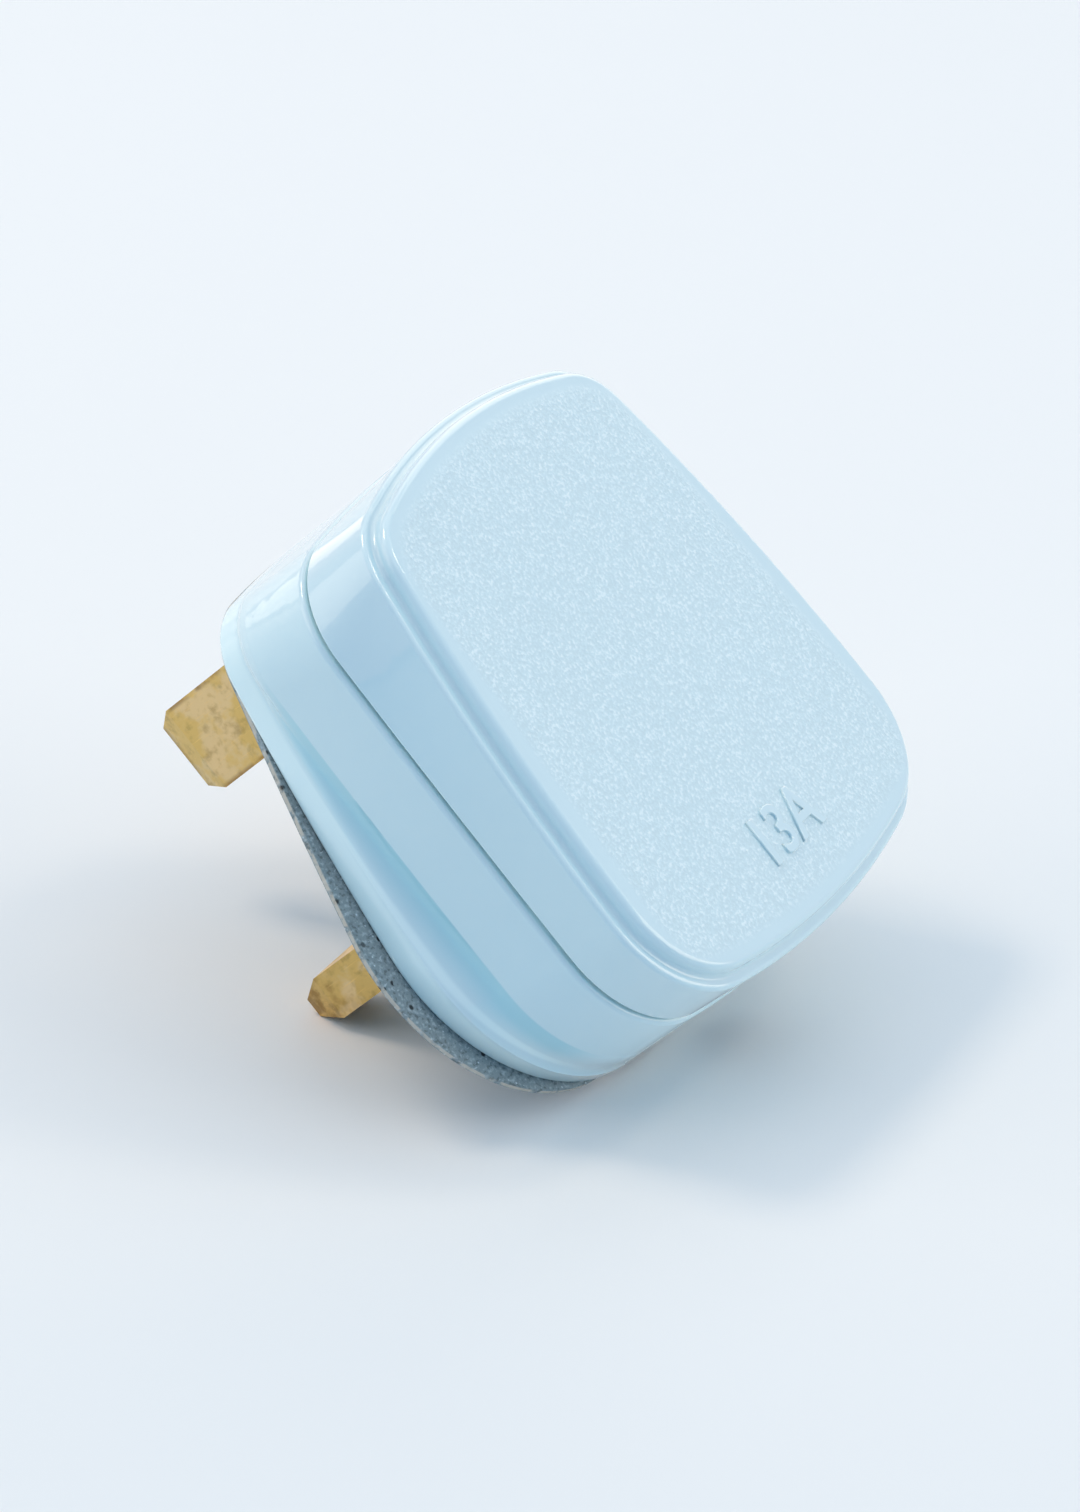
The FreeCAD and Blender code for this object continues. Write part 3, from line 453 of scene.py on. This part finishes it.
def housing_finish(title, settings, grained):
    """Pale gloss plastic, with a grain on the cover's flat top carrying painted glints and painted shade,
    or painted shade in the base's scoops and painted highlights on its lip and crests, and painted light
    along the seam.
    """
    plastic = settings.plastic
    finish = Finish(title, {"Coat Weight": 1.0, "Coat Roughness": 0.03})
    x, y, z = finish.axes()
    speckle = finish.noise(5.0, 2.0)
    tint = finish.blend(finish.noise(0.06, 2.0), shaded(plastic, 0.98), shaded(plastic, 1.02))
    sheen = 0.24 + 0.10 * finish.noise(0.25, 3.0) + 0.04 * speckle
    height = 0.4 * finish.noise(0.3, 2.0) + 0.02 * speckle
    if grained:
        grain = grained_top(x, y, z, settings.smooth_border)
        grain_glints_and_shade = finish.noise(1 / settings.grain_pitch, 3.0)
        # Painted shade: the hollows of the grain are darkened.
        tint = finish.blend(grain * grain_glints_and_shade.step(0.56, 0.36), tint, shaded(plastic, 0.94))
        # Painted glints: pale specks on the beads of the grain, whose relief is a real bump.
        tint = finish.blend(grain * grain_glints_and_shade.step(0.52, 0.68) * 0.8, tint, settings.painted_glint)
        sheen = sheen + grain * 0.15
        height = height + grain * grain_glints_and_shade * (settings.grain_depth / SKIN_DEPTH)
    else:
        scoop_shade_mask, crest_highlight = scoop_shade_and_crest_highlights(x, y, z)
        # Painted highlights: the lip and the crests are lightened.
        lip_highlight = z.step(CREST_HEIGHT, CREST_HEIGHT - 1.0)
        # Painted shade darkens the scoops.
        tint = finish.blend(scoop_shade_mask, tint, settings.painted_scoop_shade)
        tint = finish.blend(lip_highlight.most(crest_highlight) * 0.6, tint, settings.painted_highlight)
    # Painted light: a paler band along the seam between the base and the cover.
    painted_seam_light = abs(z - SEAM_MIDDLE).step(0.32, 0.24)
    tint = finish.blend(painted_seam_light * 0.6, tint, settings.painted_highlight)
    dust = finish.flecks(0.22, 0.03, 0.3)
    tint = finish.blend(dust * 0.7, tint, shaded(plastic, 0.25))
    finish.colour(tint)
    finish.roughness(sheen)
    finish.relief(height, SKIN_DEPTH)
    return finish.material


def brass_finish(title, settings, stained):
    """Handled brass with dull patches, brown stains and fine scratches along the pin."""
    finish = Finish(title, {"Metallic": 1.0})
    patches = finish.noise(0.30, 4.0).step(0.47, 0.58)
    mottle = finish.noise(1.6, 4.0)
    brown = finish.noise(0.7, 4.0).step(0.52, 0.70)
    scratches = finish.noise(1.0, 2.0, finish.stretched((9.0, 9.0, 0.35)))
    tint = finish.blend(patches * 0.8, settings.brass, settings.tarnish)
    tint = finish.blend(brown * 0.5, tint, shaded(settings.brass, 0.5))
    tint = finish.blend(mottle.step(0.5, 0.8) * 0.4, tint, shaded(settings.brass, 0.6))
    if stained:
        _, y, z = finish.axes()
        row = y.step(*ROW_PINS)
        # The earth pin is darker brown in patches along its narrow sides and round its tip.
        narrow_sides = abs(y - EARTH_PIN_OFFSET).step(EARTH_PIN_HALF - 0.5, EARTH_PIN_HALF - 0.05)
        rim = narrow_sides.most(z.step(*EARTH_PIN_TIP)) * (1 - row)
        tips = finish.noise(0.5, 5.0).step(0.46, 0.64) * z.step(*ROW_PIN_TIPS) * row
        stains = tips.most(rim * finish.noise(0.6, 3.0).step(0.35, 0.55))
        tint = finish.blend(stains * 0.7, tint, settings.stain)
        patches = patches.most(stains)
    tint = finish.blend(scratches.step(0.60, 0.75) * 0.4, tint, shaded(settings.brass, 1.35))
    finish.colour(tint)
    finish.roughness(0.30 + 0.22 * patches + 0.10 * mottle)
    finish.relief(scratches * 0.5 + mottle * 0.5, SKIN_DEPTH)
    return finish.material


def plated_finish(title, colour, grime):
    """Plated metal with a faint brushed line and a little grime."""
    finish = Finish(title, {"Metallic": 1.0})
    brushed = finish.noise(1.2, 2.0, finish.stretched((6.0, 0.5, 6.0)))
    patches = finish.noise(0.5, 3.0).step(0.45, 0.75)
    finish.colour(finish.blend(patches * grime, colour, shaded(colour, 0.5)))
    finish.roughness(0.24 + 0.14 * brushed + 0.2 * patches)
    finish.relief(brushed, BRUSHED_DEPTH)
    return finish.material


def moulded_finish(title, colour):
    """Plain moulded plastic with a fine skin."""
    finish = Finish(title)
    skin = finish.noise(3.0, 3.0)
    cloud = finish.noise(0.2, 2.0)
    finish.colour(finish.blend(cloud, shaded(colour, 0.9), shaded(colour, 1.1)))
    finish.roughness(0.4 + 0.12 * skin)
    finish.relief(skin, SKIN_DEPTH)
    return finish.material


def ceramic_finish(title):
    """Off-white unglazed ceramic with fine pits."""
    finish = Finish(title)
    pits = finish.flecks(1.6, 0.2, 0.4)
    cloud = finish.noise(0.5, 3.0)
    body = finish.blend(cloud, CERAMIC_DARK, CERAMIC_PALE)
    finish.colour(finish.blend(pits * 0.5, body, CERAMIC_PIT))
    finish.roughness(0.45 + 0.2 * cloud)
    finish.relief(1 - pits, PIT_DEPTH)
    return finish.material


def washer_finish(title):
    """Dark red vulcanised fibre."""
    finish = Finish(title)
    fibres = finish.noise(2.0, 4.0, finish.stretched((1.0, 3.0, 6.0)))
    finish.colour(finish.blend(fibres, WASHER_DARK, WASHER_PALE))
    finish.roughness(0.55 + 0.2 * fibres)
    finish.relief(fibres, WASHER_DEPTH)
    return finish.material


def board_finish(title, settings):
    """Grey recycled board with pale and dark fibres and a frayed, browner cut edge."""
    finish = Finish(title)
    *_, z = finish.axes()
    cloud = finish.noise(0.35, 4.0)
    grit = finish.noise(2.4, 4.0)
    strands = finish.noise(1.5, 2.0, finish.stretched((0.8, 2.6, 4.0)))
    tint = finish.blend(cloud, shaded(settings.board, 0.75), shaded(settings.board, 1.25))
    tint = finish.blend(grit.step(0.52, 0.68) * 0.6, tint, settings.pale_fibre)
    tint = finish.blend(grit.step(0.46, 0.34) * 0.7, tint, shaded(settings.board, 0.4))
    tint = finish.blend(strands.step(0.64, 0.72) * 0.8, tint, settings.pale_fibre)
    tint = finish.blend(finish.flecks(0.9, 0.28, 0.30), tint, shaded(settings.board, 0.12))
    tint = finish.blend(finish.flecks(1.9, 0.22, 0.20) * 0.8, tint, shaded(settings.pale_fibre, 1.3))
    cut_edge = abs(z - CARD_EDGE_MIDDLE).step(0.22, 0.14)
    frayed = cut_edge * finish.noise(0.9, 4.0).step(0.38, 0.52)
    tint = finish.blend(frayed * 0.8, tint, settings.cut_edge)
    finish.colour(tint)
    finish.roughness(0.78 + 0.15 * grit)
    finish.relief(grit * 0.6 + strands * 0.4, BOARD_DEPTH)
    return finish.material


class PLUG_OT_dress_housing(Operator):
    """Give the base and the cover their gloss plastic, with the grained top"""

    bl_idname = "plug.dress_housing"
    bl_label = "Dress Housing"

    def execute(self, context):
        settings = context.scene.plug_housing
        clad(HOUSING_BASE, housing_finish("base_gloss_plastic", settings, False))
        clad(HOUSING_COVER, housing_finish("cover_grained_plastic", settings, True))
        return {"FINISHED"}


class PLUG_OT_raise_rating(Operator):
    """Raise the plain rating out of the cover's top"""

    bl_idname = "plug.raise_rating"
    bl_label = "Raise Rating"

    def execute(self, context):
        settings = context.scene.plug_mark
        words = bpy.data.curves.new("rating_words", "FONT")
        words.body = settings.words
        words.size = settings.letter_height / MM / CAPITAL_SHARE
        words.align_x = "CENTER"
        words.align_y = "CENTER"
        words.extrude = settings.relief / MM
        words.bevel_depth = settings.stroke_rounding / MM
        words.bevel_resolution = 2
        words.resolution_u = 4
        draft = bpy.data.objects.new("rating_draft", words)
        shape = bpy.data.meshes.new_from_object(draft)
        bpy.data.objects.remove(draft)
        shape.name = "rating_mark"
        lift = Matrix.Translation((settings.place[0], settings.place[1], COVER_TOP))
        shape.transform(PLUG_FRAME @ lift)
        piece = bpy.data.objects.new("rating_mark", shape)
        context.scene.collection.objects.link(piece)
        shape.materials.clear()
        shape.materials.append(housing_finish("rating_plastic", context.scene.plug_housing, False))
        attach(piece, "root")
        return {"FINISHED"}


class PLUG_OT_dress_pins(Operator):
    """Give the pins their tarnished brass and their sleeves black plastic"""

    bl_idname = "plug.dress_pins"
    bl_label = "Dress Pins"

    def execute(self, context):
        settings = context.scene.plug_metal
        clad(BRASS_PINS, brass_finish("pin_tarnished_brass", settings, True))
        clad(PIN_SLEEVES, moulded_finish("pin_sleeve_plastic", settings.sleeve))
        return {"FINISHED"}


class PLUG_OT_dress_card(Operator):
    """Give the card on the pin face its grey board"""

    bl_idname = "plug.dress_card"
    bl_label = "Dress Card"

    def execute(self, context):
        clad(BOARD_CARD, board_finish("card_grey_board", context.scene.plug_card))
        return {"FINISHED"}


class PLUG_OT_dress_inside(Operator):
    """Give the fuse, clips, screws, cord grip and washer their finishes"""

    bl_idname = "plug.dress_inside"
    bl_label = "Dress Inside"

    def execute(self, context):
        metal = context.scene.plug_metal
        clad(SPRING_METAL, plated_finish("spring_plate", metal.steel, 0.3))
        clad(STEEL_SCREWS, plated_finish("screw_zinc_plate", shaded(metal.steel, 0.85), 0.5))
        clad(BRASS_SCREWS, brass_finish("screw_turned_brass", metal, False))
        clad(FUSE_BARREL, ceramic_finish("fuse_ceramic_tube"))
        clad(CORD_GRIP, moulded_finish("grip_moulded_plastic", GRIP_PLASTIC))
        clad(FIBRE_WASHER, washer_finish("washer_red_fibre"))
        return {"FINISHED"}


def floor_finish(settings):
    """Pale matt studio floor with a faint mottle and a little lint."""
    finish = Finish("studio_floor", {"Specular IOR Level": 0.2})
    cloud = finish.noise(0.02, 3.0)
    tint = finish.blend(cloud, shaded(settings.floor, 0.985), settings.floor)
    lint = finish.flecks(0.07, 0.018, 0.5)
    finish.colour(finish.blend(lint * 0.3, tint, shaded(settings.floor, 0.7)))
    finish.roughness(0.8 + 0.1 * cloud)
    return finish.material


def soft_lamp(name, place, aim, size, power, colour):
    """A rectangular soft lamp that faces a point."""
    lamp = bpy.data.lights.new(name, "AREA")
    lamp.shape = "RECTANGLE"
    lamp.size, lamp.size_y = size
    lamp.energy = power
    lamp.color = colour
    holder = bpy.data.objects.new(name, lamp)
    holder.location = place
    holder.rotation_euler = (Vector(aim) - Vector(place)).to_track_quat("-Z", "Y").to_euler()
    bpy.context.scene.collection.objects.link(holder)


class PLUG_OT_set_stage(Operator):
    """Lay the pale floor, hang the soft lamps and place the camera"""

    bl_idname = "plug.set_stage"
    bl_label = "Set Stage"

    def execute(self, context):
        scene = context.scene
        settings = scene.plug_stage
        scene.view_settings.view_transform = "Standard"
        self.lay_floor(scene, settings)
        self.light(scene, settings)
        self.place_camera(scene, settings)
        return {"FINISHED"}

    def lay_floor(self, scene, settings):
        shape = bpy.data.meshes.new("studio_floor")
        work = bmesh.new()
        bmesh.ops.create_grid(work, x_segments=1, y_segments=1, size=FLOOR_HALF)
        work.to_mesh(shape)
        work.free()
        shape.materials.append(floor_finish(settings))
        floor = bpy.data.objects.new("studio_floor", shape)
        scene.collection.objects.link(floor)

    def light(self, scene, settings):
        surround = bpy.data.worlds.new("studio_surround")
        surround.use_nodes = True
        sheet = NodeSheet(surround.node_tree)
        path = sheet.node("ShaderNodeLightPath")
        kinds = ("Camera", "Glossy", "Transmission")
        seen, mirrored, through = (Signal(sheet, path.outputs[f"Is {kind} Ray"]) for kind in kinds)
        shown = sheet.blend(seen.most(mirrored).most(through), settings.surround, settings.backdrop)
        sheet.feed(sheet.tree.nodes["Background"].inputs["Color"], shown)
        scene.world = surround
        hang = functools.partial(soft_lamp, aim=LAMP_AIM, colour=settings.lamp)
        hang("key_lamp", (-0.42, 0.55, 0.32), size=(0.6, 0.5), power=settings.key_power)
        hang("low_lamp", (0.10, 0.48, 0.08), size=(0.5, 0.14), power=settings.low_power)
        hang("fill_lamp", (0.25, -0.75, 0.30), size=(0.7, 0.5), power=settings.fill_power)
        hang("back_lamp", (0.72, 0.15, 0.41), size=(0.8, 0.6), power=settings.back_power)
        hang("earth_end_lamp", (-0.06, 0.40, 0.69), size=(0.2, 0.2), power=settings.crisp_power)
        cord_end_power = settings.crisp_power * CORD_END_LAMP_SHARE
        hang("cord_end_lamp", (0.28, -0.39, 0.64), size=(0.14, 0.14), power=cord_end_power)
        hang("top_lamp", (-0.06, 0.14, 0.95), size=(1.5, 1.5), power=settings.top_power)

    def place_camera(self, scene, settings):
        eye = Vector(settings.eye)
        view = Vector(settings.aim) - eye
        turn = view.to_track_quat("-Z", "Y").to_matrix().to_4x4()
        camera = bpy.data.cameras.new("photo_camera")
        camera.sensor_fit = "HORIZONTAL"
        camera.sensor_width = SENSOR_WIDTH
        camera.lens = settings.lens
        camera.clip_start = NEAREST_SIGHT
        holder = bpy.data.objects.new("photo_camera", camera)
        holder.matrix_world = Matrix.Translation(eye) @ turn @ Matrix.Rotation(settings.roll, 4, "Z")
        scene.collection.objects.link(holder)
        scene.camera = holder


class PLUG_PT_dressing(Panel):
    """Settings and steps of the plug's dressing"""

    bl_idname = "PLUG_PT_dressing"
    bl_label = "Three Pin Plug"
    bl_space_type = "VIEW_3D"
    bl_region_type = "UI"
    bl_category = "Plug"

    def draw(self, context):
        for title, step in STEPS.items():
            column = self.layout.column(align=True)
            settings = getattr(context.scene, title)
            for name in settings.__annotations__:
                column.prop(settings, name)
            for operator in step:
                column.operator(operator.bl_idname)


SETTINGS = {
    "plug_housing": HousingSettings,
    "plug_mark": MarkSettings,
    "plug_metal": MetalSettings,
    "plug_card": CardSettings,
    "plug_stage": StageSettings,
}
STEPS = {
    "plug_housing": (PLUG_OT_dress_housing,),
    "plug_mark": (PLUG_OT_raise_rating,),
    "plug_metal": (PLUG_OT_dress_pins, PLUG_OT_dress_inside),
    "plug_card": (PLUG_OT_dress_card,),
    "plug_stage": (PLUG_OT_set_stage,),
}
OPERATORS = [operator for step in STEPS.values() for operator in step]
CLASSES = (*SETTINGS.values(), *OPERATORS, PLUG_PT_dressing)


def register():
    for entry in CLASSES:
        bpy.utils.register_class(entry)
    for name, group in SETTINGS.items():
        setattr(bpy.types.Scene, name, PointerProperty(type=group))


def unregister():
    for name in SETTINGS:
        delattr(bpy.types.Scene, name)
    for entry in reversed(CLASSES):
        bpy.utils.unregister_class(entry)


def main():
    register()
    bpy.ops.plug.set_stage()
    bpy.ops.plug.dress_housing()
    bpy.ops.plug.raise_rating()
    bpy.ops.plug.dress_pins()
    bpy.ops.plug.dress_card()
    bpy.ops.plug.dress_inside()


if __name__ == "__main__":
    main()
